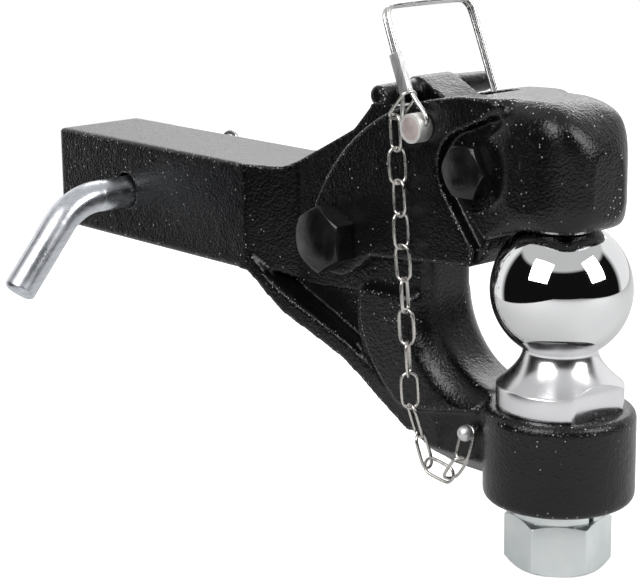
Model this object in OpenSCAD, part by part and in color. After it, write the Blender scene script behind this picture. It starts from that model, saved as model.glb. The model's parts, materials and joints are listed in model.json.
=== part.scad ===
// Receiver-mount pintle hook with a hitch ball.
// +X runs from the shank end to the ball, +Z is up, and the origin is the centre of the shank's end face.

/* [Shank] */
// Side of the square shank that slides into the receiver
shank_w = 50.8; // [46:0.1:56]
// Length of the square shank
shank_len = 153; // [130:1:190]
// Radius along the long edges of the shank
shank_edge_r = 2.5; // [1:0.5:5]
// Distance of the hitch pin hole from the end of the shank
hitch_hole_x = 57; // [40:1:80]
// Diameter of the hitch pin hole
hitch_hole_d = 17.5; // [16.5:0.1:19]

/* [Hook body] */
// Distance of the jaw pivot in front of the shank
pivot_ahead = 59; // [56:1:70]
// Width of the web that the jaw straddles
web_w = 30; // [24:0.5:34]
// Width of the hook block and the lower arm
hook_w = 34; // [32:0.5:40]
// Radius of the throat that takes the lunette ring
throat_r = 35.5; // [33:0.5:37]
// Radius that rounds the edges of the throat
throat_round = 9; // [5:0.5:11]
// Width of the lower rib where it meets the hook block
rib_w = 36; // [34:0.5:44]
// Height of the lower rib
rib_h = 8; // [6:0.5:10]
// Web left between the two side pockets
pocket_web = 18; // [12:0.5:24]
// Height of the hump above the pivot
hump_h = 61.4; // [60:0.1:62]

/* [Ball] */
// Diameter of the hitch ball
ball_d = 58.74; // [50.8:0.01:60.3]
// Distance of the ball in front of the jaw pivot
ball_ahead = 114; // [112:0.5:118]
// Height of the ball's centre above the pivot line
ball_z = -7.4; // [-10:0.1:-6]
// Height of the ball's centre above its seat
ball_rise = 49.6; // [47:0.1:52]
// Diameter of the collar under the ball
ball_collar_d = 31.6; // [28:0.1:34]
// Width across the flats of the ball's base
ball_base_af = 50.8; // [46:0.1:54]
// Diameter of the ball's threaded stud
ball_stud_d = 25.4; // [19:0.1:28]
// Width across the flats of the ball nut
ball_nut_af = 39; // [36.5:0.1:44]
// Height of the ball nut
ball_nut_h = 22.2; // [18:0.1:26]
// Diameter of the boss that carries the ball
boss_d = 63.5; // [60:0.5:68]
// Height of that boss
boss_h = 40; // [36:0.5:44]

/* [Upper jaw] */
// Thickness of each side plate
plate_t = 7; // [6:0.1:9]
// Width of the nose
nose_w = 42; // [38:0.5:44]
// Length of the nose in front of the jaw pivot
nose_reach = 138; // [132:0.5:142]
// Height of the jaw's top above the pivot
jaw_top = 71; // [69:0.1:73]
// Radius of the nose's top front corner
nose_top_r = 27; // [16:0.5:30]
// Radius of the nose's corners seen from above
nose_side_r = 18; // [10:0.5:19]
// Depth of the dish that keeps the nose off the ball
dish_depth = 2.6; // [1:0.1:4]
// Diameter of the jaw pivot bolt
jaw_bolt_d = 18; // [16:0.1:20]
// Width across the flats of the jaw pivot bolt's head
jaw_bolt_af = 26.5; // [24:0.1:28]
// Radius of the jaw's boss around its pivot
jaw_boss_r = 18; // [16:0.1:19]

/* [Latch] */
// Width of the latch lever
lever_w = 21; // [18:0.5:24]
// Radius of the lever's hub
lever_hub_r = 13.5; // [13:0.1:14.5]
// Diameter of the latch pivot bolt
latch_bolt_d = 14; // [12:0.1:15]
// Width across the flats of the latch pivot bolt's head
latch_bolt_af = 21; // [19:0.1:22]
// Diameter of the handle arms at their ends
handle_d = 9; // [8:0.1:9.6]
// Diameter of the handle arms at the lever
handle_root_d = 11; // [10:0.1:11.4]
// Length across both handle arms
handle_len = 68; // [60:0.5:76]
// Wire diameter of the latch spring
spring_wire = 1.6; // [1.2:0.1:1.8]

/* [Pins] */
// Diameter of the hitch pin
hitch_pin_d = 15.9; // [14:0.1:16.2]
// Length of the bent leg of the hitch pin
hitch_leg = 40; // [30:1:60]
// Bend of that leg in degrees
hitch_bend = 50; // [30:1:70]
// Wire diameter of the hitch pin clip
clip_wire = 3; // [2.5:0.1:3.6]
// Diameter of the safety pin
safety_pin_d = 10; // [8.5:0.1:10.4]
// Diameter of the safety pin's head
safety_head_d = 12.5; // [11.5:0.1:14]
// Wire diameter of the bail
bail_wire = 2.1; // [1.8:0.1:2.3]
// Height of the bail above the safety pin
bail_h = 53; // [46:1:64]
// Lean of the bail in degrees
bail_lean = 22; // [15:1:24]

/* [Chain] */
// Wire diameter of the chain
chain_wire = 1.6; // [1.3:0.1:1.7]
// Outer length of a link
link_len = 17.4; // [17:0.1:17.8]
// Outer width of a link
link_w = 8.8; // [8.4:0.1:9.2]

/* [Hidden] */
$fn = 64;
WIRE_SIDES = 10;
LINK_SIDES = 8;
ARC_STEPS = 8;

// Clearances
run_gap = 0.08;
side_gap = 0.3;
seat_gap = 0.3;
face_gap = 0.4;
eps = 0.01;
cut = 1;

// Main places in the side view
pivot = [shank_len + pivot_ahead, 0];
ball_x = pivot.x + ball_ahead;
ball_line = [ball_x, 0];
latch_back = 32.7;
latch_rise = 39.8;
latch_pivot = ball_line + [-latch_back, latch_rise];
safety_back = 58.2;
safety_rise = 55.5;
safety_pin_at = ball_line + [-safety_back, safety_rise];
handle_back = 74.5;
lever_end_r = handle_root_d / 2 + 0.8;
handle_at = ball_line + [-handle_back, hump_h + seat_gap + lever_end_r];
boss_top = ball_z - ball_rise;
boss_bottom = boss_top - boss_h;

// Hook body
taper_len = 26;
throat_back = 28;
throat_drop = 19;
throat_at = ball_line + [-throat_back, -throat_drop];
web_front = throat_at.x - throat_r;
shoulder_lean = 43;
hump_back = 73.8;
hump_front = [ball_x - hump_back, hump_h];
shoulder_foot = [web_front, hump_h - (web_front - hump_front.x) / tan(shoulder_lean)];
arm_bottom = boss_bottom + 3.5;
arm_chamfer = 8;
boss_round = 4;
belly = [
    [shank_len, -shank_w / 2],
    pivot + [-37.3, -41.6],
    pivot + [-20, -48],
    pivot + [2, -57],
    pivot + [23.4, -71.3],
    pivot + [42.7, -82.3],
];
belly_round = 60;
belly_corners = [for (i = [0 : len(belly) - 1])
    [belly[i].x, belly[i].y, i == 0 || i == len(belly) - 1 ? 0 : belly_round]];

// Upper jaw
jaw_gap_w = web_w + 2 * side_gap;
jaw_w = jaw_gap_w + 2 * plate_t;
jaw_back_r = 101;
jaw_back_at = ball_line + [-37.7, -32.5];
sweep_r = norm(hump_front - pivot) + 1.4;
nose_bottom = ball_z + ball_d / 2 - dish_depth;
nose_front = pivot.x + nose_reach;
nose_round = 14;
recess_r = 17;
recess_w = 34;
lever_gap_w = lever_w + 2 * side_gap;
hub_gap_r = lever_hub_r + 2;

// Bolts and nuts
jaw_bolt_head = 11.5;
jaw_nut_h = 15;
jaw_washer_t = 3;
latch_bolt_head = 8.8;
latch_nut_h = 12.8;
latch_washer_t = 2.5;
ball_washer_t = 6.3;
stud_gap = 0.25;

// Latch
latch_swing = 25;
slot_swing = latch_swing + 12;
slot_w = safety_pin_d + 2 * face_gap;
pin_arm = norm(safety_pin_at - latch_pivot);
spring_turns = 2.5;
spring_r = latch_bolt_d / 2 + 2.2;
spring_pocket_r = spring_r + spring_wire / 2 + 0.5;
spring_room = spring_wire * (spring_turns + 1) + 0.8;

// Hitch pin and clip
hitch_bend_r = 30;
hitch_straight = 17;
hitch_tail = 22;
clip_at = shank_w / 2 + 13;
hitch_pin_z = -(hitch_hole_d - hitch_pin_d) / 2 + run_gap;

// Safety pin and bail
safety_head_len = 7;
safety_tip = jaw_w / 2 + 1.5;
bail_hinge_y = -(jaw_w / 2 + seat_gap + safety_head_len / 2);
bail_span = safety_tip + bail_wire / 2 + 0.8 - bail_hinge_y;
bail_half = bail_wire / 2 + 0.15;
bail_hole_d = bail_wire + 0.3;
bail_bend = 6;
bail_wide = safety_head_d / 2 + bail_wire / 2 + 0.3;
bail_foot = safety_head_len / 2 + bail_wire / 2 + 0.4;
bail_end = -2;
ferrule_from = 15.5;
ferrule_len = 17;

// Chain
lap_flat = chain_wire / 2 + 0.15;
rivet_d = 7;
rivet_neck_d = 3.6;
rivet_neck = chain_wire + 2.6;

// Points of a rounded corner at p between the neighbours a and b
function unit(v) = v / norm(v);
function corner(p, a, b, r) =
    let(
        u = unit(a - p),
        w = unit(b - p),
        half = acos(u * w) / 2,
        c = p + unit(u + w) * r / sin(half),
        first = p + u * r / tan(half) - c,
        last = p + w * r / tan(half) - c,
        from = atan2(first.y, first.x),
        turn = (atan2(last.y, last.x) - from + 540) % 360 - 180
    )
    [for (i = [0 : ARC_STEPS]) c + r * [cos(from + turn * i / ARC_STEPS), sin(from + turn * i / ARC_STEPS)]];

// Closed outline through [x, y, radius] corners
function rounded(corners) =
    let(n = len(corners), flat = [for (c = corners) [c.x, c.y]])
    [for (i = [0 : n - 1])
        each corners[i].z > 0
            ? corner(flat[i], flat[(i + n - 1) % n], flat[(i + 1) % n], corners[i].z)
            : [flat[i]]];

function arc(c, r, from, to, steps) =
    [for (i = [0 : steps]) c + r * [cos(from + (to - from) * i / steps), sin(from + (to - from) * i / steps)]];

// Rings of a tube along a path, with ref as the direction that the rings keep to
function ring(p, t, ref, r, sides) =
    let(a = unit(cross(t, ref)), b = cross(t, a))
    [for (k = [0 : sides - 1]) p + r * (a * cos(360 * k / sides) + b * sin(360 * k / sides))];
function tangent(path, i, closed) =
    let(n = len(path))
    closed
        ? unit(path[(i + 1) % n] - path[(i + n - 1) % n])
        : unit(path[min(i + 1, n - 1)] - path[max(i - 1, 0)]);

module tube(path, d, ref, sides, closed = false) {
    n = len(path);
    points = [for (i = [0 : n - 1]) each ring(path[i], tangent(path, i, closed), ref, d / 2, sides)];
    spans = closed ? n - 1 : n - 2;
    walls = [for (i = [0 : spans], k = [0 : sides - 1])
        let(j = (i + 1) % n, m = (k + 1) % sides)
        [i * sides + k, i * sides + m, j * sides + m, j * sides + k]];
    ends = closed ? [] : [
        [for (k = [sides - 1 : -1 : 0]) k],
        [for (k = [0 : sides - 1]) (n - 1) * sides + k],
    ];
    polyhedron(points, concat(walls, ends), convexity = 6);
}

// Extrudes a side-view outline across the part
module across(w) {
    rotate([90, 0, 0])
        linear_extrude(height = w, center = true)
            children();
}

// Cylinder across the part at a side-view place
module cross_pin(at, d, from, to) {
    translate([at.x, from, at.y])
        rotate([-90, 0, 0])
            cylinder(h = to - from, d = d);
}

// Hexagon prism along +Z with chamfered rims
module hex(af, h, low = true, high = true) {
    ac = af / cos(30);
    slope = tan(30);
    rim = (ac - af) / 2 * slope;
    intersection() {
        cylinder(h = h, d = ac, $fn = 6);
        if (low)
            translate([0, 0, -rim * 0.1])
                cylinder(h = h + rim, r1 = af / 2 * 0.97, r2 = af / 2 * 0.97 + (h + rim) / slope);
        if (high)
            translate([0, 0, -rim])
                cylinder(h = h + rim * 1.1, r1 = af / 2 * 0.97 + (h + rim * 1.1) / slope, r2 = af / 2 * 0.97);
    }
}

// Hook body
module web_outline() {
    polygon(rounded([
        [shank_len - 6, shank_w / 2, 0],
        [pivot.x - 41, shank_w / 2, 14],
        [pivot.x - 11.3, 40, 0],
        [pivot.x + 6, 49, 9],
        [pivot.x + 17.2, hump_h, 3],
        [hump_front.x, hump_front.y, 0],
        [shoulder_foot.x, shoulder_foot.y, 0],
        [throat_at.x - throat_r, throat_at.y, 0],
        [throat_at.x, throat_at.y, 0],
        [ball_x, throat_at.y, 0],
        [ball_x, arm_bottom, 0],
        [pivot.x + 69.5, arm_bottom, 20],
        [pivot.x + 54.4, -89.7, 0],
        each [for (i = [len(belly) - 1 : -1 : 0]) belly_corners[i]],
        [shank_len - 6, -shank_w / 2, 0],
    ]));
}

module plan_taper(w) {
    linear_extrude(height = 400, center = true)
        polygon([
            [shank_len - 7, -shank_w / 2], [shank_len, -shank_w / 2],
            [shank_len + taper_len, -w / 2], [ball_x + 1, -w / 2],
            [ball_x + 1, w / 2], [shank_len + taper_len, w / 2],
            [shank_len, shank_w / 2], [shank_len - 7, shank_w / 2],
        ]);
}

module rib_outline() {
    lift = [3, rib_h, 0];
    polygon(rounded([
        each belly_corners,
        each [for (i = [len(belly) - 1 : -1 : 0]) belly_corners[i] + lift],
    ]));
}

module rib_plan() {
    linear_extrude(height = 400, center = true)
        polygon([
            [shank_len - 7, -shank_w / 2], [shank_len, -shank_w / 2],
            [pivot.x + 20, -rib_w / 2], [ball_x, -rib_w / 2],
            [ball_x, rib_w / 2], [pivot.x + 20, rib_w / 2],
            [shank_len, shank_w / 2], [shank_len - 7, shank_w / 2],
        ]);
}

module block_outline() {
    polygon(rounded([
        [pivot.x + 8.6, -22, 5],
        [web_front + 20, -18, 0],
        [ball_x, throat_at.y - 4, 0],
        [ball_x, arm_bottom, 0],
        [pivot.x + 62, arm_bottom, 0],
        [pivot.x + 33, -70, 10],
        [pivot.x + 14, -57, 14],
        [pivot.x + 8.6, -42, 10],
    ]));
}

module pocket_outline() {
    polygon(rounded([
        [shank_len + 6, -23, 1],
        [pivot.x - 26, -28, 3],
        [pivot.x + 8.6, -25, 3],
        [pivot.x + 8.6, -50.5, 3],
        [pivot.x - 17, -39.5, 0],
        [pivot.x - 34.3, -33, 0],
    ]));
}

// Half profile of the throat, from its axis to a rim that flares at both faces
module throat_profile() {
    flat = hook_w / 2 - throat_round;
    rim = throat_r + throat_round;
    polygon([
        [0, -hook_w],
        [rim + 4, -hook_w],
        [rim, -hook_w / 2],
        each arc([rim, -flat], throat_round, 270, 180, ARC_STEPS),
        each arc([rim, flat], throat_round, 180, 90, ARC_STEPS),
        [rim + 4, hook_w],
        [0, hook_w],
    ]);
}

module throat_cut() {
    translate([throat_at.x, 0, throat_at.y]) {
        rotate([90, 0, 0])
            rotate_extrude(angle = 210, start = 150)
                throat_profile();
        linear_extrude(height = shoulder_foot.y - throat_at.y + 60)
            mirror([1, 0])
                throat_profile();
    }
}

module boss() {
    translate([ball_x, 0, 0])
        rotate_extrude()
            polygon([
                [0, boss_bottom],
                each arc([boss_d / 2 - boss_round, boss_bottom + boss_round], boss_round, 270, 360, ARC_STEPS),
                each arc([boss_d / 2 - boss_round, boss_top - boss_round], boss_round, 0, 90, ARC_STEPS),
                [0, boss_top],
            ]);
}

module arm_chamfers() {
    for (side = [-1, 1])
        translate([pivot.x + 36, 0, 0])
            rotate([90, 0, 90])
                linear_extrude(height = ball_x - pivot.x - 36 - boss_d / 2 + 12)
                    polygon([
                        [side * (hook_w / 2 + 8), arm_bottom - 14],
                        [side * (hook_w / 2 + 8), arm_bottom + 2 * arm_chamfer],
                        [side * (hook_w / 2 - arm_chamfer), arm_bottom],
                        [side * (hook_w / 2 - arm_chamfer), arm_bottom - 14],
                    ]);
}

module shank() {
    half = shank_w / 2;
    rotate([90, 0, 90])
        linear_extrude(height = shank_len)
            polygon(rounded([
                for (s = [[1, 1], [-1, 1], [-1, -1], [1, -1]]) [s.x * half, s.y * half, shank_edge_r]
            ]));
}

module hook_body() {
    color("#1b1b1c")
        difference() {
            union() {
                shank();
                difference() {
                    union() {
                        intersection() {
                            across(shank_w) web_outline();
                            plan_taper(web_w);
                        }
                        intersection() {
                            across(shank_w) rib_outline();
                            rib_plan();
                        }
                        across(hook_w) block_outline();
                    }
                    throat_cut();
                    arm_chamfers();
                    for (side = [-1, 1])
                        translate([0, side * (pocket_web + shank_w) / 2, 0])
                            across(shank_w) pocket_outline();
                }
                boss();
            }
            cross_pin(pivot, jaw_bolt_d + 2 * run_gap, -shank_w, shank_w);
            cross_pin([hitch_hole_x, 0], hitch_hole_d, -shank_w, shank_w);
            translate([ball_x, 0, boss_bottom - cut])
                cylinder(h = boss_h + 2 * cut + throat_r, d = ball_stud_d + 2 * stud_gap);
            translate([ball_x, 0, boss_top])
                cylinder(h = throat_r, d = ball_base_af / cos(30) + 2 * face_gap);
            cross_pin(rivet_at, rivet_neck_d + 2 * run_gap, -hook_w / 2 - cut, -hook_w / 2 + 9);
        }
}

// Upper jaw
module jaw_outline() {
    polygon([
        each arc(jaw_back_at, jaw_back_r, 153.6, 110.8, 14),
        ball_line + [-57.2, jaw_top - 4.3],
        ball_line + [-38.4, jaw_top - 0.9],
        pivot + [94, jaw_top],
        each corner([nose_front, jaw_top], [pivot.x + 94, jaw_top], [nose_front, 30], nose_top_r),
        [nose_front, nose_bottom + 5],
        [nose_front - 5, nose_bottom],
        pivot + [110, nose_bottom],
        pivot + [91.3, nose_bottom - 6],
        pivot + [83, -0.3],
        pivot + [22.6, -5.7],
        each arc(pivot, jaw_boss_r, -45, -221, 20),
    ]);
}

// Part of the outline that stands proud as the side plates
module plate_outline() {
    intersection() {
        jaw_outline();
        polygon([
            pivot + [-40, -40], pivot + [-40, 100], pivot + [92, 100],
            pivot + [99.2, jaw_top - 2.6], pivot + [97.4, jaw_top - 6],
            pivot + [80, 57], latch_pivot, pivot + [70, 29.5],
            pivot + [86.5, 11], pivot + [87, -40],
        ]);
    }
}

// Groove that runs down from the recess round the latch bolt
module groove_outline() {
    polygon([
        pivot + [65.5, 32], pivot + [84.2, 7.5], pivot + [83, -9],
        pivot + [92.3, -9], pivot + [91.3, nose_bottom - 9], pivot + [85, 16.5], pivot + [75, 27],
    ]);
}

// Groove under the finger of the side plate, from the recess up to the top
module finger_outline() {
    polygon([
        latch_pivot + [-14, 9], pivot + [80, 57.4], pivot + [97, jaw_top - 6.4],
        pivot + [101, jaw_top - 9.5], pivot + [86, 52],
    ]);
}

module recess_cuts() {
    deep = (recess_w + jaw_w) / 2;
    for (side = [-1, 1])
        translate([0, side * deep, 0]) {
            across(jaw_w) translate(latch_pivot) circle(r = recess_r);
            across(jaw_w) groove_outline();
            across(jaw_w) finger_outline();
        }
}

module nose_plan() {
    half = nose_w / 2;
    linear_extrude(height = 400, center = true)
        polygon(rounded([
            [pivot.x + 60, -half, 0], [nose_front, -half, nose_side_r],
            [nose_front, half, nose_side_r], [pivot.x + 60, half, 0],
        ]));
}

module nose_section() {
    half = nose_w / 2 + 0.5;
    translate([pivot.x + 59, 0, 0])
        rotate([90, 0, 90])
            linear_extrude(height = nose_reach)
                polygon(rounded([
                    [half, -20, 0], [half, jaw_top, nose_round],
                    [-half, jaw_top, nose_round], [-half, -20, 0],
                ]));
}

module lever_room() {
    room = hub_gap_r;
    polygon([
        latch_pivot + [-room - 30, 70],
        latch_pivot + [-24, 70],
        each arc(latch_pivot, room, 45, -110, 16),
        latch_pivot + [-room - 32, 1],
    ]);
}

module upper_jaw() {
    color("#202021")
        difference() {
            union() {
                across(jaw_w) plate_outline();
                intersection() {
                    across(nose_w + 2) jaw_outline();
                    nose_plan();
                    nose_section();
                }
            }
            recess_cuts();
            across(jaw_gap_w) translate(pivot) circle(r = sweep_r);
            across(lever_gap_w) lever_room();
            cross_pin(pivot, jaw_bolt_d + 2 * run_gap, -jaw_w, jaw_w);
            cross_pin(latch_pivot, latch_bolt_d + 2 * eps, -jaw_w, jaw_w);
            cross_pin(safety_pin_at, safety_pin_d + 2 * run_gap, -jaw_w, jaw_w);
            translate([ball_x, 0, ball_z])
                rotate([90, 0, 0]) sphere(d = ball_d + 2 * face_gap);
        }
}

// Bolts and nuts
module hex_bolt(d, af, head, grip) {
    translate([0, 0, -head]) hex(af, head, low = true, high = false);
    translate([0, 0, -eps]) cylinder(h = grip + eps, d = d);
}

module hex_nut(d, af, h) {
    difference() {
        hex(af, h);
        translate([0, 0, -cut]) cylinder(h = h + 2 * cut, d = d + 2 * eps);
    }
}

module on_axis(at, y, turn = 0) {
    translate([at.x, y, at.y])
        rotate([-90, 0, 0])
            rotate(turn)
                children();
}

module jaw_pivot_bolt() {
    color("#2a2a2c")
        on_axis(pivot, -jaw_w / 2, 30)
            hex_bolt(jaw_bolt_d, jaw_bolt_af, jaw_bolt_head, jaw_w + jaw_washer_t + jaw_nut_h + 2);
}

module jaw_pivot_washer() {
    color("#2a2a2c")
        on_axis(pivot, jaw_w / 2)
            difference() {
                cylinder(h = jaw_washer_t, d = 2 * jaw_boss_r - 2);
                translate([0, 0, -cut]) cylinder(h = jaw_washer_t + 2 * cut, d = jaw_bolt_d + 2 * run_gap);
            }
}

module jaw_pivot_nut() {
    color("#2a2a2c")
        on_axis(pivot, jaw_w / 2 + jaw_washer_t, 30) hex_nut(jaw_bolt_d, jaw_bolt_af, jaw_nut_h);
}

module latch_pivot_bolt() {
    color("#2a2a2c")
        on_axis(latch_pivot, -recess_w / 2)
            hex_bolt(latch_bolt_d, latch_bolt_af, latch_bolt_head, recess_w + latch_washer_t + latch_nut_h + 1.5);
}

module latch_pivot_washer() {
    color("#2a2a2c")
        on_axis(latch_pivot, recess_w / 2)
            difference() {
                cylinder(h = latch_washer_t, d = latch_bolt_af + 6);
                translate([0, 0, -cut]) cylinder(h = latch_washer_t + 2 * cut, d = latch_bolt_d + 2 * run_gap);
            }
}

module latch_pivot_nut() {
    color("#2a2a2c")
        on_axis(latch_pivot, recess_w / 2 + latch_washer_t) hex_nut(latch_bolt_d, latch_bolt_af, latch_nut_h);
}

// Latch lever
module lever_outline() {
    arm = handle_at - latch_pivot;
    lean = atan2(arm.y, arm.x);
    fan = acos((lever_hub_r - lever_end_r) / norm(arm));
    tooth = hump_front + [face_gap / cos(shoulder_lean), 0];
    tooth_tip = tooth + 13 * [sin(shoulder_lean), -cos(shoulder_lean)];
    polygon([
        each arc(latch_pivot, lever_hub_r, lean - fan, lean + fan - 360, 28),
        tooth_tip + [5, -1],
        tooth_tip,
        tooth,
        [tooth.x - 0.1, hump_h + seat_gap],
        each arc(handle_at, lever_end_r, 270, lean - fan, 18),
    ]);
}

// One arm of the handle, with a rounded end
module handle_arm() {
    reach = handle_len / 2;
    tip = 1.5;
    on_axis(handle_at, 0) {
        cylinder(h = reach - tip, d1 = handle_root_d, d2 = handle_d);
        translate([0, 0, reach - tip]) cylinder(h = tip, d1 = handle_d, d2 = handle_d - 2 * tip);
    }
}

module latch_lever() {
    slot_from = atan2(safety_pin_at.y - latch_pivot.y, safety_pin_at.x - latch_pivot.x);
    color("#242426")
        difference() {
            union() {
                across(lever_w) lever_outline();
                handle_arm();
                mirror([0, 1, 0]) handle_arm();
            }
            cross_pin(latch_pivot, latch_bolt_d + 2 * run_gap, -lever_w, lever_w);
            cross_pin(safety_pin_at, slot_w, -lever_w, lever_w);
            translate([latch_pivot.x, 0, latch_pivot.y])
                rotate([90, 0, 0])
                    rotate_extrude(angle = slot_swing, start = slot_from)
                        translate([pin_arm - slot_w / 2, -lever_w])
                            square([slot_w, 2 * lever_w]);
            on_axis(latch_pivot, lever_w / 2 - spring_room)
                cylinder(h = spring_room + cut, r = spring_pocket_r);
            on_axis(latch_pivot, lever_w / 2 - spring_room)
                rotate(-70)
                    translate([0, -spring_wire - 1, 0])
                        cube([lever_hub_r + 2, 3 * spring_wire + 2, spring_room + cut]);
        }
}

module latch_spring() {
    start_y = lever_w / 2 - spring_room + 0.4 + spring_wire / 2;
    per_turn = 18;
    steps = spring_turns * per_turn;
    turn = [for (i = [0 : steps])
        let(a = 70 + 360 * i / per_turn)
        [spring_r * cos(a), start_y + (spring_wire + 0.1) * i / per_turn, spring_r * sin(a)]];
    last = turn[steps];
    leg = unit(turn[steps] - turn[steps - 1]);
    color("silver")
        translate([latch_pivot.x, 0, latch_pivot.y])
            tube([each turn, last + 3 * [leg.x, 0, leg.z]], spring_wire, [0, 1, 0], LINK_SIDES);
}

// Ball
module hitch_ball() {
    collar_r = ball_collar_d / 2;
    collar_z = -sqrt(pow(ball_d / 2, 2) - pow(collar_r, 2));
    base_ac = ball_base_af / cos(30);
    base_h = 7.4;
    neck_r = collar_r - 0.5;
    neck_top = collar_z - 4.1;
    flare_h = neck_top - base_h + ball_rise;
    flare_w = base_ac / 2 + 0.5 - neck_r;
    flare_bow = 0.16;
    ball_flat = 0.8;
    stud_len = ball_rise + boss_h + ball_washer_t + ball_nut_h - 1;
    color("gainsboro")
        translate([ball_x, 0, ball_z]) {
            difference() {
                sphere(d = ball_d);
                translate([0, 0, ball_d / 2 - ball_flat]) cylinder(h = ball_d, d = ball_d);
            }
            intersection() {
                rotate_extrude()
                    polygon([
                        [0, -ball_rise],
                        [neck_r + flare_w, -ball_rise],
                        each [for (i = [0 : ARC_STEPS])
                            let(t = 1 - i / ARC_STEPS, bow = 4 * flare_bow * t * (1 - t))
                            [neck_r + flare_w * (t - bow), neck_top - flare_h * (t + bow)]],
                        [collar_r, neck_top],
                        [collar_r, collar_z + 2],
                        [0, collar_z + 2],
                    ]);
                translate([0, 0, -ball_rise])
                    rotate(-44) cylinder(h = 2 * ball_rise, d = base_ac, $fn = 6);
            }
            translate([0, 0, -stud_len]) cylinder(h = stud_len - ball_rise + 1, d = ball_stud_d);
        }
}

module ball_lock_washer() {
    color("lightgray")
        translate([ball_x, 0, boss_bottom - ball_washer_t])
            rotate_extrude(angle = 352)
                translate([ball_stud_d / 2 + stud_gap, 0])
                    square([(ball_nut_af - ball_stud_d) / 2 - stud_gap, ball_washer_t]);
}

module ball_nut() {
    color("lightsteelblue")
        translate([ball_x, 0, boss_bottom - ball_washer_t - ball_nut_h])
            rotate(-17)
                hex_nut(ball_stud_d, ball_nut_af, ball_nut_h);
}

// Hitch pin, straight along Y with one bent leg
module hitch_pin() {
    near = shank_w / 2 + hitch_straight;
    far = shank_w / 2 + hitch_tail;
    tip_r = 1.6;
    elbow_lap = 2;
    elbow_neck = 0.2;
    color("lightgray")
        translate([hitch_hole_x, 0, hitch_pin_z]) {
            difference() {
                union() {
                    rotate([-90, 0, 0])
                        translate([0, 0, -near]) cylinder(h = near + far - tip_r, d = hitch_pin_d);
                    rotate([-90, 0, 0])
                        translate([0, 0, far - tip_r])
                            cylinder(h = tip_r, d1 = hitch_pin_d, d2 = hitch_pin_d - 2 * tip_r);
                }
                translate([0, clip_at, -hitch_pin_d])
                    cylinder(h = 2 * hitch_pin_d, d = clip_wire + 0.6);
            }
            translate([0, -near, -hitch_bend_r]) {
                rotate([90, 0, -90])
                    rotate_extrude(angle = hitch_bend + 2 * elbow_lap, start = 90 - hitch_bend - elbow_lap)
                        translate([hitch_bend_r, 0]) circle(d = hitch_pin_d - elbow_neck);
                rotate([hitch_bend, 0, 0])
                    translate([0, 0, hitch_bend_r])
                        rotate([90, 0, 0]) {
                            cylinder(h = hitch_leg - tip_r, d = hitch_pin_d);
                            translate([0, 0, hitch_leg - tip_r])
                                cylinder(h = tip_r, d1 = hitch_pin_d, d2 = hitch_pin_d - 2 * tip_r);
                        }
            }
        }
}

// Spring clip through the tail of the hitch pin
module hitch_pin_clip() {
    half = hitch_pin_d / 2 + clip_wire / 2 + 0.25;
    loop_r = 7;
    rise = hitch_pin_d / 2 + 9;
    path = [
        [0, 0, -hitch_pin_d / 2 - 8],
        [0, 0, 0],
        [0, 0, rise],
        each [for (a = [180 : -24 : -60]) [loop_r + loop_r * cos(a), 0, rise + loop_r * sin(a)]],
        [half + 0.2, 0, hitch_pin_d / 2 + 1.5],
        [half, 0, 4],
        [half, 0, -4],
        [half + 1, 0, -hitch_pin_d / 2 - 1],
        [half + 4, 0, -hitch_pin_d / 2 - 6],
    ];
    color("silver")
        translate([hitch_hole_x, clip_at, hitch_pin_z])
            tube(path, clip_wire, [0, 1, 0], WIRE_SIDES);
}

// Safety pin
module safety_pin() {
    head_from = -(jaw_w / 2 + seat_gap + safety_head_len);
    tip_r = 2;
    color("silver")
        difference() {
            translate([safety_pin_at.x, 0, safety_pin_at.y])
                rotate([-90, 0, 0]) {
                    translate([0, 0, head_from]) cylinder(h = safety_head_len, d = safety_head_d);
                    translate([0, 0, head_from + eps]) cylinder(h = safety_tip - head_from - tip_r, d = safety_pin_d);
                    translate([0, 0, safety_tip - tip_r])
                        cylinder(h = tip_r, d1 = safety_pin_d, d2 = safety_pin_d - 2 * tip_r);
                }
            bail_frame()
                rotate([0, 90, 0]) cylinder(h = 2 * safety_head_d, d = bail_hole_d, center = true);
        }
}

// Frame of the bail: x along its hinge, y across the jaw, z up its legs
module bail_frame() {
    translate([safety_pin_at.x, bail_hinge_y, safety_pin_at.y])
        rotate([0, -bail_lean, 0])
            children();
}

function bail_side(s) =
    let(
        wide = bail_wide,
        top = bail_h,
        b = bail_bend
    )
    [
        [s * (safety_head_d / 2 - 2.5), 0, 0],
        [s * (wide - 1), 0, 0],
        [s * wide, 0, 1],
        [s * wide, 0, bail_foot],
        [s * bail_half, 0, ferrule_from - 1],
        [s * bail_half, 0, top - b],
        each [for (a = [30 : 30 : 90]) [s * bail_half, b - b * cos(a), top - b + b * sin(a)]],
        each [for (a = [0 : 30 : 90]) [s * bail_half, bail_span - b + b * sin(a), top - b + b * cos(a)]],
        [s * bail_half, bail_span, bail_end],
        each [for (a = [30 : 30 : 60]) [s * bail_half * cos(a), bail_span, bail_end - bail_half * sin(a)]],
    ];

module wire_bail() {
    near = bail_side(1);
    back = bail_side(-1);
    path = [each near, each [for (i = [len(back) - 1 : -1 : 0]) back[i]]];
    color("silver")
        bail_frame() bail_tube(path);
}

// The bail's wire turns out of its own plane, so its rings follow a direction that is never along it
module bail_tube(path) {
    tube(path, bail_wire, [0.3, -0.5, 0.2], WIRE_SIDES);
}

module bail_ferrule() {
    wall = 0.45;
    w = 2 * bail_half + bail_wire + 2 * wall;
    t = bail_wire + 2 * wall;
    color("silver")
        bail_frame()
            translate([0, 0, ferrule_from])
                linear_extrude(height = ferrule_len)
                    difference() {
                        square([w, t], center = true);
                        square([w - 2 * wall + 2 * run_gap, t - 2 * wall + 2 * run_gap], center = true);
                    }
}

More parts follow.
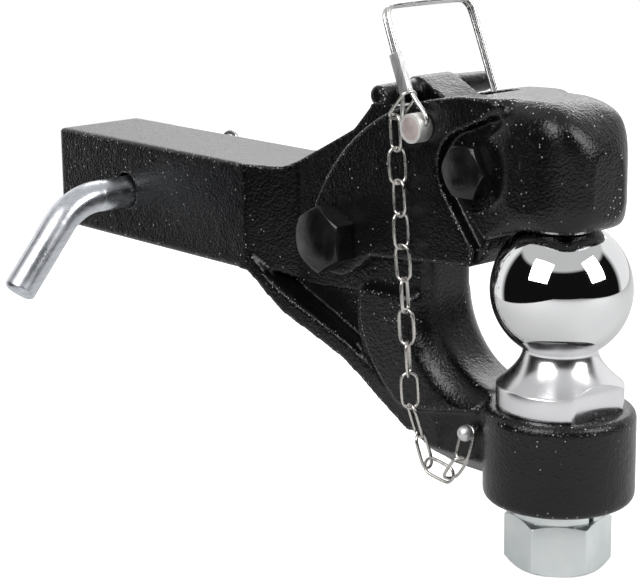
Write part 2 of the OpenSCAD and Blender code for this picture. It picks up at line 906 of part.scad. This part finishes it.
// Chain: each link leads on from the last by its heading from straight down, its drift across and its twist
LINK_HEADINGS = [-38, each [for (i = [1 : 9]) 4.3], 9, 15.5, 78, 141.5, 174.5];
LINK_DRIFTS = [-0.1, each [for (i = [1 : 9]) 0], 0.235, 0.113, 0.116, -0.1, 0.25];
LINK_TWISTS = [105, 10, -62, 5, -80, -10, 65, -15, 55, -45, 20, 80, -12, 70, 0];
hook_up = ferrule_from - 1.9;
hook_out = bail_wide - (bail_wide - bail_half) * (hook_up - bail_foot) / (ferrule_from - 1 - bail_foot);
hook_at = [
    safety_pin_at.x + hook_out * cos(bail_lean) - hook_up * sin(bail_lean),
    bail_hinge_y - 0.4,
    safety_pin_at.y + hook_out * sin(bail_lean) + hook_up * cos(bail_lean),
];
hook_slack = (bail_wire + chain_wire) / 2 + 0.35 - lap_flat;
last_link = len(LINK_HEADINGS) - 1;
function link_dir(i) = unit([sin(LINK_HEADINGS[i]), LINK_DRIFTS[i], -cos(LINK_HEADINGS[i])]);
function lap(i) =
    i == 0 || i > last_link ? lap_flat : lap_flat / pow(norm(link_dir(i - 1) + link_dir(i)) / 2, 3.5);
function link_from(i) =
    i == 0
        ? hook_at - hook_slack * link_dir(0)
        : link_from(i - 1) + (link_len - chain_wire - lap(i - 1) - lap(i)) * link_dir(i - 1);
chain_end = link_from(last_link + 1);
rivet_pull = unit([link_dir(last_link).x, link_dir(last_link).z]);
rivet_at = [chain_end.x, chain_end.z] + (lap_flat - chain_wire / 2 - rivet_neck_d / 2 - 0.2) * rivet_pull;

module chain_link() {
    r = (link_w - chain_wire) / 2;
    half = (link_len - chain_wire) / 2 - r;
    path = [
        each [for (a = [0 : 30 : 180]) [r * cos(a), 0, half + r * sin(a)]],
        each [for (a = [180 : 30 : 360]) [r * cos(a), 0, -half + r * sin(a)]],
    ];
    tube(path, chain_wire, [0, 1, 0], LINK_SIDES, closed = true);
}

module placed_link(i) {
    along = link_dir(i);
    translate(link_from(i) + ((link_len - chain_wire) / 2 - lap(i)) * along)
        rotate([0, atan2(along.x, along.z), 0])
            rotate([-asin(along.y), 0, 0])
                rotate(LINK_TWISTS[i])
                    chain_link();
}

module chain_top_link() {
    color("lightgray") placed_link(0);
}

module retaining_chain() {
    color("lightgray")
        for (i = [1 : last_link])
            placed_link(i);
}

module chain_rivet() {
    dome_r = rivet_d / 2;
    color("gainsboro")
        translate([rivet_at.x, -hook_w / 2, rivet_at.y])
            rotate([90, 0, 0]) {
                translate([0, 0, -8]) cylinder(h = 8 + rivet_neck + 1, d = rivet_neck_d);
                translate([0, 0, rivet_neck])
                    rotate_extrude()
                        polygon([
                            [0, 0], [dome_r, 0],
                            each arc([0, 0.6], dome_r, 0, 80, ARC_STEPS),
                            [0, dome_r + 0.6],
                        ]);
            }
}

hook_body();
upper_jaw();
jaw_pivot_bolt();
jaw_pivot_washer();
jaw_pivot_nut();
latch_lever();
latch_spring();
latch_pivot_bolt();
latch_pivot_washer();
latch_pivot_nut();
hitch_ball();
ball_lock_washer();
ball_nut();
hitch_pin();
hitch_pin_clip();
safety_pin();
wire_bail();
bail_ferrule();
chain_top_link();
retaining_chain();
chain_rivet();
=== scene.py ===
"""Studio scene of the receiver-mount pintle hook: finishes, worn surfaces, light and camera."""

import json
import math

import bmesh
import bpy
from mathutils import Matrix, Vector


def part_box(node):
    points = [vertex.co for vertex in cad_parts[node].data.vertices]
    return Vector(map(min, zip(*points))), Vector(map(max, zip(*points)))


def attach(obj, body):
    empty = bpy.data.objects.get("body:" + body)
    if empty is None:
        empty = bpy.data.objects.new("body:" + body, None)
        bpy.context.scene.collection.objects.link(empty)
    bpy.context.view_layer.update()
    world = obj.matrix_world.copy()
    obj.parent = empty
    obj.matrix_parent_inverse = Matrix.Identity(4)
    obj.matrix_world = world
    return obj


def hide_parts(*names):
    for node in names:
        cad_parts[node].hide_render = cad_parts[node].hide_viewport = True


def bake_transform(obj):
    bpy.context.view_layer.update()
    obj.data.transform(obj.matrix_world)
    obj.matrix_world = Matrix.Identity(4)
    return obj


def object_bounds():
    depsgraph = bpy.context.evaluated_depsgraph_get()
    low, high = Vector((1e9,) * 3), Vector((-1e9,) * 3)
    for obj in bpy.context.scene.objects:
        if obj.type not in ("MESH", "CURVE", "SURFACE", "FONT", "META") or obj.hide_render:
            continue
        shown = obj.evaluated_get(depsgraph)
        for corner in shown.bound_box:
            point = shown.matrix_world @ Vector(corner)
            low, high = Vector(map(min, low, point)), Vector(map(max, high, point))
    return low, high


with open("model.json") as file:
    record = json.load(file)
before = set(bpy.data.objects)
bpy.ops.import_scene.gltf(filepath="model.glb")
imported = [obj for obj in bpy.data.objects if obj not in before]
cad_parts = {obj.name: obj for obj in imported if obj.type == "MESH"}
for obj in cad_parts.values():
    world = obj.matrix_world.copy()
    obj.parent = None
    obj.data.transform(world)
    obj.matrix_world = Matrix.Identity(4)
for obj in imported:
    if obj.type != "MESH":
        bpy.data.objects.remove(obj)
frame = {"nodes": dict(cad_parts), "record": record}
cad_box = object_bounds()
NODES = frame["nodes"]
RECORD = frame["record"]
BODY_OF = {n: body for body, nodes in RECORD["behaviour"]["bodies"].items() for n in nodes}
MM = 0.001

# Raised block on the arm, in mm: its outline in x and z, and how its border rises
BLOCK_OUTLINE = (
    (223, -19), (223, -40), (227.5, -51), (237, -63.5), (252, -73.5), (300, -64.2), (300, -19),
)
BLOCK_HEIGHT, BLOCK_EDGE, BLOCK_CORNER = 3.6, 3.0, 0.6
BLOCK_CORE, BLOCK_SIDE = 10.0, 16.0
THROAT_AT, THROAT_LIP, THROAT_ROUND = (298, -19), 35.5, 12.0

# Jaw nose, in metres: where its rounding starts along x and z, and over what length it grows
NOSE_X, NOSE_X_RUN = 302 * MM, 16 * MM
NOSE_Z, NOSE_Z_RUN, NOSE_LEAST = 10 * MM, 20 * MM, 0.2
NOSE_PASSES, NOSE_SWELL = 240, 1.6 * MM

# Edge widths of the turned and hexagonal pieces, in mm
EDGES = {
    "jaw_pivot_bolt": 0.5, "jaw_pivot_washer": 0.3, "jaw_pivot_nut": 0.5,
    "latch_pivot_bolt": 0.5, "latch_pivot_washer": 0.3, "latch_pivot_nut": 0.5,
    "ball_lock_washer": 0.4, "ball_nut": 0.6, "safety_pin": 0.4,
    "bail_ferrule": 0.15, "chain_rivet": 0.2,
}

# Studio
TO_CAMERA = (0.66, -0.75, 0.0)
BALL_AT = (0.326, 0.0, 0.0)
FLOOR_AT, FLOOR_SIZE, FLOOR_GAP = (0.50, 0.33), (1.5, 4.0), 0.2 * MM
FLOOR_SHADE, FLOOR_ROUGHNESS, FLOOR_GLOW = (0.58, 0.58, 0.58, 1), 0.8, 0.75
WHITE = (1, 1, 1, 1)
BACKDROP = (0.95, 0.95, 0.95, 1)
CEILING = (0.6, 0.6, 0.6, 1)
DARK_ROOM = (0.006, 0.006, 0.0065, 1)
FRONT_RAMP, CEILING_RAMP = (-0.36, -0.2), (0.6, 0.66)


# Node helpers
def is_socket(value):
    return hasattr(value, "is_linked")


class Shader:
    """One procedural material on a Principled shader, in object coordinates (metres)."""

    def __init__(self, name, **values):
        self.material = bpy.data.materials.new(name)
        self.material.use_nodes = True
        self.tree = self.material.node_tree
        self.shader = self.tree.nodes["Principled BSDF"]
        self.place = self.tree.nodes.new("ShaderNodeTexCoord").outputs["Object"]
        self.set(**values)

    def add(self, kind, settings=None, **inputs):
        """A node with its settings and inputs: an input is named, or numbered as i0, i1, ..."""
        node = self.tree.nodes.new(kind)
        for key, value in (settings or {}).items():
            setattr(node, key, value)
        for key, value in inputs.items():
            name = int(key[1:]) if key[1:].isdigit() else key.replace("_", " ")
            self.put(node.inputs[name], value)
        return node

    def put(self, socket, value):
        if is_socket(value):
            self.tree.links.new(value, socket)
        else:
            socket.default_value = value

    def noise(self, scale, detail=3.0, rough=0.5, place=None):
        node = self.add("ShaderNodeTexNoise", Scale=scale, Detail=detail, Roughness=rough)
        self.put(node.inputs["Vector"], place or self.place)
        return node.outputs["Fac"]

    def stretched(self, scale):
        return self.add("ShaderNodeMapping", Vector=self.place, Scale=scale).outputs["Vector"]

    def spread(self, value, low, high, start=0.0, end=1.0):
        """Maps start..end to low..high."""
        node = self.add("ShaderNodeMapRange", Value=value, i1=start, i2=end, i3=low, i4=high)
        return node.outputs["Result"]

    def vary(self, noise, low, high):
        """Maps the range that a noise mostly keeps to, to low..high."""
        return self.spread(noise, low, high, 0.3, 0.7)

    def maths(self, operation, a, b=0.0):
        node = self.add("ShaderNodeMath", {"operation": operation}, i0=a, i1=b)
        return node.outputs["Value"]

    def vector(self, operation, a, **inputs):
        return self.add("ShaderNodeVectorMath", {"operation": operation}, i0=a, **inputs)

    def tint(self, value, dark, light):
        """A colour between two others, each an RGB tuple or a socket."""
        ends = [c if is_socket(c) else (*c, 1) for c in (dark, light)]
        node = self.add("ShaderNodeMix", {"data_type": "RGBA"}, i0=value, i6=ends[0], i7=ends[1])
        return node.outputs[2]

    def bump(self, height, strength, distance, under=None):
        node = self.add("ShaderNodeBump", Height=height, Strength=strength, Distance=distance)
        if under is not None:
            self.put(node.inputs["Normal"], under)
        return node.outputs["Normal"]

    def set(self, **sockets):
        for name, value in sockets.items():
            self.put(self.shader.inputs[name.replace("_", " ")], value)
        return self.material


# Finishes
def black_coat():
    """Glossy powder coat on a forging: orange peel, and raised pimples in patches and on edges
    whose pale tops are painted glints.
    """
    s = Shader("black_powder_coat", Specular_IOR_Level=0.38)
    waves = s.noise(140, 2)
    peel = s.noise(760, 3, 0.6)
    grain = s.noise(2300, 2)
    patches = s.noise(26, 4, 0.6)
    # Convex edges and random patches get more pimples: real bumps, whose near-white colour below
    # is a painted glint.
    edge = s.spread(s.add("ShaderNodeNewGeometry").outputs["Pointiness"], 0, 1, 0.506, 0.54)
    cells = s.add("ShaderNodeTexVoronoi", Vector=s.place, Scale=760.0)
    pick = s.add("ShaderNodeSeparateColor", i0=cells.outputs["Color"]).outputs[0]
    in_patch = s.spread(patches, 0.01, 0.2, 0.52, 0.7)
    crowd = s.maths("MAXIMUM", in_patch, s.maths("MULTIPLY", edge, 0.95))
    dome = s.spread(cells.outputs["Distance"], 1, 0, 0.05, 0.42)
    pimple_and_glint = s.maths("MULTIPLY", dome, s.maths("LESS_THAN", pick, crowd))
    black = s.tint(s.vary(patches, 0, 1), (0.003, 0.003, 0.0035), (0.006, 0.006, 0.0065))
    coarse = s.bump(waves, 0.3, 0.8 * MM)
    skin = s.bump(peel, 0.9, 0.36 * MM, coarse)
    raised = s.bump(pimple_and_glint, 0.9, 0.4 * MM, skin)
    # Pimple tops are coloured near-white: painted glints, as if they caught the lamps.
    return s.set(
        Base_Color=s.tint(s.spread(pimple_and_glint, 0, 1, 0.5, 0.9), black, (0.85, 0.85, 0.86)),
        Roughness=s.vary(peel, 0.06, 0.14),
        Normal=s.bump(grain, 0.25, 0.08 * MM, raised),
    )


def black_oxide():
    """Oiled black bolts, a little uneven in tone and gloss."""
    s = Shader("black_oxide_steel", Specular_IOR_Level=0.35)
    wear = s.noise(120, 5, 0.6)
    fine = s.noise(2200, 2)
    tone = s.spread(wear, 0, 1, 0.35, 0.75)
    return s.set(
        Base_Color=s.tint(tone, (0.004, 0.004, 0.004), (0.014, 0.0135, 0.013)),
        Roughness=s.vary(wear, 0.12, 0.26),
        Normal=s.bump(fine, 0.4, 0.08 * MM, s.bump(wear, 0.5, 0.6 * MM)),
    )


def chrome():
    """Mirror plate of the ball."""
    s = Shader("mirror_chrome", Metallic=1.0)
    haze = s.noise(60, 4)
    polish = s.noise(900, 2)
    return s.set(
        Base_Color=s.tint(haze, (0.76, 0.77, 0.78), (0.84, 0.84, 0.845)),
        Roughness=s.vary(haze, 0.02, 0.055),
        Normal=s.bump(polish, 0.02, 0.02 * MM),
    )


def satin_chrome():
    """The ball's turned base: plated like the ball, with fine turning marks about its axis."""
    s = Shader("satin_chrome", Metallic=1.0)
    rings = s.noise(1, 3, 0.6, s.stretched((60, 60, 2600)))
    haze = s.noise(110, 4)
    return s.set(
        Base_Color=s.tint(haze, (0.74, 0.74, 0.76), (0.85, 0.85, 0.86)),
        Roughness=s.vary(haze, 0.17, 0.25),
        Normal=s.bump(rings, 0.06, 0.03 * MM),
    )


def zinc():
    """Bright zinc of the ball's nut and washer, clouded."""
    s = Shader("bright_zinc", Metallic=1.0)
    cloud = s.noise(90, 4)
    fine = s.noise(1600, 2)
    return s.set(
        Base_Color=s.tint(s.vary(cloud, 0, 1), (0.80, 0.85, 0.86), (0.90, 0.93, 0.92)),
        Roughness=s.vary(cloud, 0.34, 0.48),
        Normal=s.bump(fine, 0.12, 0.05 * MM),
    )


def drawn_zinc():
    """Zinc over a drawn bar: streaks run along the bar, which lies across the part."""
    s = Shader("drawn_zinc_bar", Metallic=1.0)
    streak = s.noise(1, 4, 0.6, s.stretched((520, 110, 520)))
    cloud = s.noise(70, 3)
    speck = s.noise(1300, 3)
    return s.set(
        Base_Color=s.tint(s.vary(streak, 0, 1), (0.60, 0.63, 0.68), (0.80, 0.82, 0.86)),
        Roughness=s.vary(cloud, 0.22, 0.38),
        Normal=s.bump(speck, 0.25, 0.08 * MM, s.bump(streak, 0.12, 0.06 * MM)),
    )


def turned_steel():
    """Turned bar end: fine rings about the safety pin's axis, a warm face and a pale rim."""
    s = Shader("turned_steel", Metallic=1.0)
    low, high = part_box("safety_pin")
    centre = (low + high) / 2
    moved = s.vector("SUBTRACT", s.place, i1=(centre.x, centre.y, centre.z))
    flat = s.vector("MULTIPLY", moved.outputs[0], i1=(1, 0, 1))
    radius = s.vector("LENGTH", flat.outputs[0]).outputs["Value"]
    rings = s.maths("SINE", s.maths("MULTIPLY", radius, 2 * math.pi / (0.75 * MM)))
    cloud = s.noise(300, 4)
    face = s.tint(cloud, (0.66, 0.56, 0.54), (0.80, 0.70, 0.68))
    rim = s.spread(radius, 0, 1, 4.6 * MM, 5.0 * MM)
    return s.set(
        Base_Color=s.tint(rim, face, (0.88, 0.87, 0.85)),
        Roughness=s.vary(cloud, 0.5, 0.66),
        Normal=s.bump(rings, 0.25, 0.05 * MM),
    )


def wire_steel():
    """Drawn wire of the bail, clip and spring."""
    s = Shader("drawn_wire", Metallic=1.0)
    cloud = s.noise(260, 4)
    fine = s.noise(2400, 2)
    return s.set(
        Base_Color=s.tint(cloud, (0.62, 0.63, 0.62), (0.80, 0.80, 0.79)),
        Roughness=s.vary(cloud, 0.2, 0.36),
        Normal=s.bump(fine, 0.1, 0.03 * MM),
    )


def sleeve_metal():
    """Soft dull metal of the crimped sleeve and the rivet, a little scuffed."""
    s = Shader("crimped_sleeve", Metallic=1.0)
    scuff = s.noise(1, 4, 0.6, s.stretched((900, 900, 160)))
    return s.set(
        Base_Color=s.tint(s.vary(scuff, 0, 1), (0.70, 0.71, 0.71), (0.88, 0.88, 0.87)),
        Roughness=s.vary(scuff, 0.38, 0.56),
        Normal=s.bump(scuff, 0.25, 0.08 * MM),
    )


def nickel():
    """Nickel plate of the chain, slightly yellow."""
    s = Shader("nickel_plate", Metallic=1.0)
    cloud = s.noise(320, 4)
    return s.set(
        Base_Color=s.tint(cloud, (0.52, 0.50, 0.47), (0.76, 0.74, 0.71)),
        Roughness=s.vary(cloud, 0.18, 0.36),
        Normal=s.bump(s.noise(1800, 2), 0.12, 0.04 * MM),
    )


COAT, OXIDE, ZINC, BAR, TURNED = black_coat(), black_oxide(), zinc(), drawn_zinc(), turned_steel()
CHROME, SATIN, WIRE = chrome(), satin_chrome(), wire_steel()
SLEEVE, NICKEL = sleeve_metal(), nickel()
FINISH = {
    "hook_body": COAT, "upper_jaw": COAT, "latch_lever": COAT,
    "jaw_pivot_bolt": OXIDE, "jaw_pivot_washer": OXIDE, "jaw_pivot_nut": OXIDE,
    "latch_pivot_bolt": OXIDE, "latch_pivot_washer": OXIDE, "latch_pivot_nut": OXIDE,
    "hitch_ball": CHROME, "ball_lock_washer": ZINC, "ball_nut": ZINC, "hitch_pin": BAR,
    "hitch_pin_clip": WIRE, "latch_spring": WIRE, "safety_pin": TURNED, "wire_bail": WIRE,
    "bail_ferrule": SLEEVE, "chain_top_link": NICKEL, "retaining_chain": NICKEL,
    "chain_rivet": SLEEVE,
}


# Piece helpers
def piece_from(work, name):
    """Turns a bmesh into a new object in the scene."""
    mesh = bpy.data.meshes.new(name)
    work.to_mesh(mesh)
    work.free()
    piece = bpy.data.objects.new(name, mesh)
    bpy.context.scene.collection.objects.link(piece)
    return piece


def solid_copy(node, name, quads=False):
    """A welded copy of a CAD node's mesh as a new object."""
    work = bmesh.new()
    work.from_mesh(NODES[node].data)
    bmesh.ops.remove_doubles(work, verts=work.verts, dist=2e-6)
    if quads:
        bmesh.ops.join_triangles(
            work, faces=work.faces,
            angle_face_threshold=math.radians(40), angle_shape_threshold=math.radians(60),
        )
    return piece_from(work, name)


def modify(piece, kind, **settings):
    """Adds a modifier with its settings."""
    step = piece.modifiers.new(kind.lower(), kind)
    for key, value in settings.items():
        setattr(step, key, value)


def settle(piece):
    """Applies a piece's modifiers to its mesh."""
    bpy.context.view_layer.update()
    shown = piece.evaluated_get(bpy.context.evaluated_depsgraph_get())
    done = bpy.data.meshes.new_from_object(shown)
    piece.modifiers.clear()
    piece.data = done


def bevel(piece, width, angle):
    modify(
        piece, "BEVEL", width=width, segments=2, limit_method="ANGLE",
        angle_limit=math.radians(angle), use_clamp_overlap=True,
    )


def dress(piece, node):
    """Gives a piece its node's finish and slot, in the node's place."""
    piece.data.materials.clear()
    piece.data.materials.append(FINISH[node])
    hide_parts(node)


def clamp(value, low=0.0):
    return min(1.0, max(low, value))


def ease(share):
    return share * share * (3 - 2 * share)


# Forged pieces
def block_rise(x, z):
    """How far the arm's raised block stands out of the plain side at (x, z), all in mm."""
    crowd = 0.0
    for (ax, az), (bx, bz) in zip(BLOCK_OUTLINE, BLOCK_OUTLINE[1:] + BLOCK_OUTLINE[:1]):
        inside = ((bx - ax) * (z - az) - (bz - az) * (x - ax)) / math.hypot(bx - ax, bz - az)
        crowd += math.exp(-BLOCK_CORNER * inside)
    border = clamp(-math.log(crowd) / BLOCK_CORNER / BLOCK_EDGE)
    from_throat = math.hypot(x - THROAT_AT[0], z - THROAT_AT[1]) - THROAT_LIP
    return BLOCK_HEIGHT * ease(border) * ease(clamp(from_throat / THROAT_ROUND))


def raise_block(piece):
    """Lifts both sides of the arm into the block between pocket and throat."""
    for vertex in piece.data.vertices:
        x, y, z = vertex.co / MM
        if abs(y) > BLOCK_CORE:
            share = min(1.0, (abs(y) - BLOCK_CORE) / (BLOCK_SIDE - BLOCK_CORE))
            vertex.co.y += math.copysign(block_rise(x, z) * share * MM, y)


def round_nose(piece):
    """Rounds the jaw's nose, and swells it back to the jaw's size."""
    group = piece.vertex_groups.new(name="soft")
    for vertex in piece.data.vertices:
        along = clamp((vertex.co.x - NOSE_X) / NOSE_X_RUN)
        amount = along * clamp((vertex.co.z - NOSE_Z) / NOSE_Z_RUN, NOSE_LEAST)
        if amount > 0:
            group.add([vertex.index], amount, "REPLACE")
    modify(piece, "SMOOTH", factor=0.5, iterations=NOSE_PASSES, vertex_group="soft")
    modify(piece, "DISPLACE", strength=NOSE_SWELL, mid_level=0.0, vertex_group="soft")
    settle(piece)
    low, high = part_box("upper_jaw")
    for vertex in piece.data.vertices:
        vertex.co = [min(max(c, a), b) for c, a, b in zip(vertex.co, low, high)]


def cast_surface(node, voxel, passes, shape=None):
    """Forged skin: the CAD solid with its sharp edges worn round, then shaped further."""
    piece = solid_copy(node, node + "_cast")
    modify(piece, "REMESH", mode="VOXEL", voxel_size=voxel)
    modify(piece, "SMOOTH", factor=0.5, iterations=passes)
    settle(piece)
    if shape:
        shape(piece)
    piece.data.shade_smooth()
    dress(piece, node)
    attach(piece, BODY_OF[node])


# Turned pieces and wire
def machined(node, width, angle=30.0):
    """Bolts, nuts and pins: the CAD solid with small rounded edges."""
    piece = solid_copy(node, node + "_turned")
    bevel(piece, width, angle)
    settle(piece)
    piece.data.shade_smooth()
    piece.data.set_sharp_from_angle(angle=math.radians(angle))
    dress(piece, node)
    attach(piece, BODY_OF[node])


def round_wire(node, name):
    """Bent wire: the CAD tube, subdivided to a round one."""
    piece = solid_copy(node, name, quads=True)
    modify(piece, "SUBSURF", levels=2, render_levels=2)
    settle(piece)
    return piece


def wire(node):
    piece = round_wire(node, node + "_wire")
    piece.data.shade_smooth()
    dress(piece, node)
    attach(piece, BODY_OF[node])


# Ball
def lathe(name, profile, steps=160):
    """A closed surface turned from an (r, z) profile in mm about the Z axis."""
    work = bmesh.new()
    turn = [2 * math.pi * k / steps for k in range(steps)]
    rings = []
    for r, z in ((r * MM, z * MM) for r, z in profile):
        points = [(r * math.cos(a), r * math.sin(a), z) for a in turn] if r else [(0, 0, z)]
        rings.append([work.verts.new(p) for p in points])
    for low, high in zip(rings, rings[1:]):
        for k in range(steps):
            n = k + 1
            corners = [low[k % len(low)], low[n % len(low)]]
            corners += [high[n % len(high)], high[k % len(high)]]
            work.faces.new(list(dict.fromkeys(corners)))
    bmesh.ops.recalc_face_normals(work, faces=work.faces)
    return piece_from(work, name)


def cut_flats(base, width, reach, height, turn):
    """Cuts two parallel wrench flats into the ball's round base."""
    bpy.ops.mesh.primitive_cube_add(size=1, location=(0, 0, -height * MM))
    wrench = bpy.context.object
    wrench.scale = (width * MM, 4 * reach * MM, 2 * height * MM)
    wrench.rotation_euler = (0, 0, math.radians(turn))
    modify(base, "BOOLEAN", operation="INTERSECT", object=wrench)
    bevel(base, 0.35 * MM, 25)
    settle(base)
    bpy.data.objects.remove(wrench)


def make_ball():
    """Polished ball on a flared round base with two wrench flats, and its stud (mm)."""
    ball_r, top_flat, steps = 29.37, 0.8, 48
    collar_r, lip, lip_edge, sunk, neck_in = 15.8, 1.2, 0.4, 0.5, 0.3
    rise, base_r, base_h, base_edge, curl = 49.6, 26.5, 9.8, 0.3, 1.7
    flats_w, flats_turn = 44.4, -5
    stud_r, stud_end, stud_sunk, stud_edge = 12.7, 117.1, 1, 1.5

    collar_z = math.sqrt(ball_r ** 2 - collar_r ** 2)
    start = math.acos((ball_r - top_flat) / ball_r)
    stop = math.pi - math.asin(collar_r / ball_r)
    sweep = [start + (stop - start) * k / (2 * steps) for k in range(2 * steps + 1)]
    globe = [(0, ball_r - top_flat)]
    globe += [(ball_r * math.sin(a), ball_r * math.cos(a)) for a in sweep]
    globe += [(collar_r, -collar_z - lip + lip_edge), (collar_r - lip_edge, -collar_z - lip)]
    globe += [(0, -collar_z - lip)]

    neck_z = -collar_z - sunk
    fall = rise - base_h + neck_z
    flare = [(0, neck_z)]
    for t in (k / steps for k in range(steps + 1)):
        flare.append((collar_r - neck_in + (base_r - collar_r) * t ** curl, neck_z - fall * t))
    flare += [(base_r, -rise + base_h - lip_edge), (base_r, -rise + base_edge)]
    flare += [(base_r - base_edge, -rise), (0, -rise)]

    stud = [(0, -rise + stud_sunk), (stud_r, -rise + stud_sunk), (stud_r, -stud_end + stud_edge)]
    stud += [(stud_r - stud_edge, -stud_end), (0, -stud_end)]

    ball, base, shaft = lathe("globe", globe), lathe("base", flare), lathe("stud", stud)
    cut_flats(base, flats_w, base_r, rise, flats_turn)
    polished = len(ball.data.polygons)
    work = bmesh.new()
    for part in (ball, base, shaft):
        work.from_mesh(part.data)
        bpy.data.objects.remove(part)
    piece = piece_from(work, "polished_ball")
    low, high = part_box("hitch_ball")
    centre = ((low.x + high.x) / 2, 0, high.z - (ball_r - top_flat) * MM)
    mesh = piece.data
    mesh.transform(Matrix.Translation(centre))
    mesh.shade_smooth()
    mesh.set_sharp_from_angle(angle=math.radians(25))
    dress(piece, "hitch_ball")
    mesh.materials.append(SATIN)
    for face in mesh.polygons[polished:]:
        face.material_index = 1
    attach(piece, BODY_OF["hitch_ball"])


# Chain
def links_of(mesh):
    """Vertex sets of a chain's links, from the top one down."""
    work = bmesh.new()
    work.from_mesh(mesh)
    left, links = set(work.verts), []
    while left:
        link, edge = set(), [left.pop()]
        while edge:
            vertex = edge.pop()
            link.add(vertex)
            near = [e.other_vert(vertex) for e in vertex.link_edges]
            edge += [v for v in near if v in left]
            left.difference_update(near)
        links.append((max(v.co.z for v in link), sorted(v.index for v in link)))
    work.free()
    return [set(link) for top, link in sorted(links, reverse=True)]


def chain_run(whole, name, links):
    """A run of links, made a piece of its own with the chain's finish."""
    keep = set().union(*links)
    work = bmesh.new()
    work.from_mesh(whole)
    spare = [v for v in work.verts if v.index not in keep]
    bmesh.ops.delete(work, geom=spare, context="VERTS")
    piece = piece_from(work, name)
    mesh = piece.data
    mesh.shade_smooth()
    dress(piece, "retaining_chain")
    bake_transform(piece)


def make_chain():
    """The chain in three runs: the top two links, the next four, and the rest."""
    chain = round_wire("retaining_chain", "chain")
    links = links_of(chain.data)
    chain_run(chain.data, "chain_upper", links[:2])
    chain_run(chain.data, "chain_middle", links[2:6])
    chain_run(chain.data, "chain_lower", links[6:])
    bpy.data.objects.remove(chain)


# Stage
def make_floor():
    """Pale floor sheet. A lift for camera rays alone makes it show white."""
    bpy.ops.mesh.primitive_plane_add(size=1)
    floor = bpy.context.object
    floor.name = "floor"
    floor.scale = (*FLOOR_SIZE, 1.0)
    floor.rotation_euler = (0, 0, math.atan2(TO_CAMERA[0], -TO_CAMERA[1]))
    floor.location = (*FLOOR_AT, cad_box[0][2] - FLOOR_GAP)
    s = Shader("pale_floor", Base_Color=FLOOR_SHADE, Roughness=FLOOR_ROUGHNESS)
    camera_ray = s.add("ShaderNodeLightPath").outputs["Is Camera Ray"]
    glow = s.add("ShaderNodeEmission", Strength=s.maths("MULTIPLY", camera_ray, FLOOR_GLOW))
    total = s.add("ShaderNodeAddShader", i0=s.shader.outputs[0], i1=glow.outputs[0])
    s.put(s.tree.nodes["Material Output"].inputs["Surface"], total.outputs[0])
    floor.data.materials.append(s.material)


def make_world():
    """White to the camera. Other rays meet a white backdrop, a pale ceiling or a dark front."""
    world = bpy.data.worlds.new("studio")
    bpy.context.scene.world = world
    world.use_nodes = True
    tree = world.node_tree
    add, link = tree.nodes.new, tree.links.new

    def ramp(value, start, end):
        node = add("ShaderNodeMapRange")
        node.inputs[1].default_value, node.inputs[2].default_value = start, end
        link(value, node.inputs[0])
        return node.outputs[0]

    def mix(share, first, second):
        node = add("ShaderNodeMix")
        node.data_type = "RGBA"
        link(share, node.inputs[0])
        for socket, colour in ((node.inputs[6], first), (node.inputs[7], second)):
            if is_socket(colour):
                link(colour, socket)
            else:
                socket.default_value = colour
        return node.outputs[2]

    place = add("ShaderNodeTexCoord").outputs["Generated"]
    ahead, part = add("ShaderNodeVectorMath"), add("ShaderNodeSeparateXYZ")
    ahead.operation = "DOT_PRODUCT"
    ahead.inputs[1].default_value = TO_CAMERA
    link(place, ahead.inputs[0])
    link(place, part.inputs[0])
    walls = mix(ramp(ahead.outputs["Value"], *FRONT_RAMP), BACKDROP, DARK_ROOM)
    room = mix(ramp(part.outputs["Z"], *CEILING_RAMP), walls, CEILING)
    view = mix(add("ShaderNodeLightPath").outputs["Is Camera Ray"], room, WHITE)
    link(view, tree.nodes["Background"].inputs["Color"])


def soft_box(name, place, size, power):
    """A rectangular lamp that points at the ball."""
    data = bpy.data.lights.new(name, "AREA")
    data.shape = "RECTANGLE"
    data.size, data.size_y = size
    data.energy = power
    lamp = bpy.data.objects.new(name, data)
    bpy.context.scene.collection.objects.link(lamp)
    lamp.location = place
    lamp.rotation_euler = (Vector(BALL_AT) - Vector(place)).to_track_quat("-Z", "Y").to_euler()


def make_camera():
    """The photograph's viewing angle, solved from the shank, ball, pins and boss."""
    place = Vector((823.027, -567.557, 179.675)) * MM
    yaw, pitch, roll = (math.radians(a) for a in (48.711, 12.181, -0.685))
    focal, width, height, centre_y = 1883.21, 640, 585, 230.0
    level = math.cos(pitch)
    back = Vector((math.sin(yaw) * level, -math.cos(yaw) * level, math.sin(pitch)))
    right = Vector((math.cos(yaw), math.sin(yaw), 0))
    up = back.cross(right)
    turned_right = right * math.cos(roll) + up * math.sin(roll)
    turned_up = up * math.cos(roll) - right * math.sin(roll)
    data = bpy.data.cameras.new("camera")
    data.sensor_fit = "HORIZONTAL"
    data.sensor_width = 36.0
    data.lens = focal * data.sensor_width / width
    data.shift_y = (centre_y - height / 2) / width
    data.clip_start, data.clip_end = 0.01, 50.0
    camera = bpy.data.objects.new("camera", data)
    bpy.context.scene.collection.objects.link(camera)
    turn = Matrix((turned_right, turned_up, back)).transposed()
    camera.matrix_world = Matrix.Translation(place) @ turn.to_4x4()
    bpy.context.scene.camera = camera


for node, material in FINISH.items():
    NODES[node].data.materials.clear()
    NODES[node].data.materials.append(material)

cast_surface("hook_body", 1.0 * MM, 4, raise_block)
cast_surface("upper_jaw", 0.9 * MM, 3, round_nose)
cast_surface("latch_lever", 0.8 * MM, 4)
cast_surface("hitch_pin", 0.55 * MM, 5)
for node, width in EDGES.items():
    machined(node, width * MM)
make_ball()
for node in ("wire_bail", "hitch_pin_clip", "chain_top_link"):
    wire(node)
make_chain()

make_floor()
make_world()
soft_box("left_box", (0.34, -0.98, 0.7), (0.7, 0.7), 10.5)
soft_box("right_box", (1.27, 0.27, 0.64), (0.56, 0.7), 8.5)
soft_box("rear_box", (-0.35, 0.9, 0.75), (1.2, 0.6), 7)
make_camera()
bpy.context.scene.view_settings.view_transform = "Standard"
